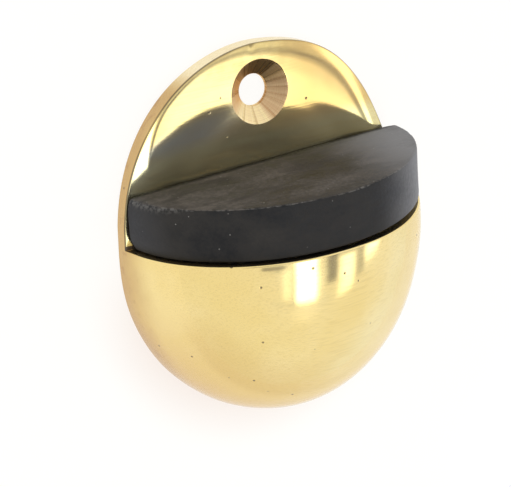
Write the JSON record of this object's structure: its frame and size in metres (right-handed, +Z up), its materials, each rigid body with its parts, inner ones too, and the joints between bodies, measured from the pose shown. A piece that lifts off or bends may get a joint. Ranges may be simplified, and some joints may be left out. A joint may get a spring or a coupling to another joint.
{
  "type": "oval floor door stop",
  "caption": "Oval floor door stop: a brass base plate with a countersunk fixing hole rises into a smooth half-egg hood that backs a half-moon black rubber buffer.",
  "frame": {"origin": "centre of the oval base, on the floor face", "axes": "+Z up off the floor, Y along the oval's long axis with the hood at +Y, the fixing hole at -Y and the buffer face towards -Y, X across"},
  "size_m": [0.042, 0.05, 0.0206],
  "materials": {
    "polished_brass": "cast, machined, hand polished and clear lacquered",
    "black_rubber": "moulded, matt, slightly dusty",
    "brassed_steel": "thin bright brass plating"
  },
  "bodies": {
    "root": {"casting": "polished_brass", "buffer": "black_rubber", "buffer_screw": "brassed_steel"}
  },
  "joints": []
}
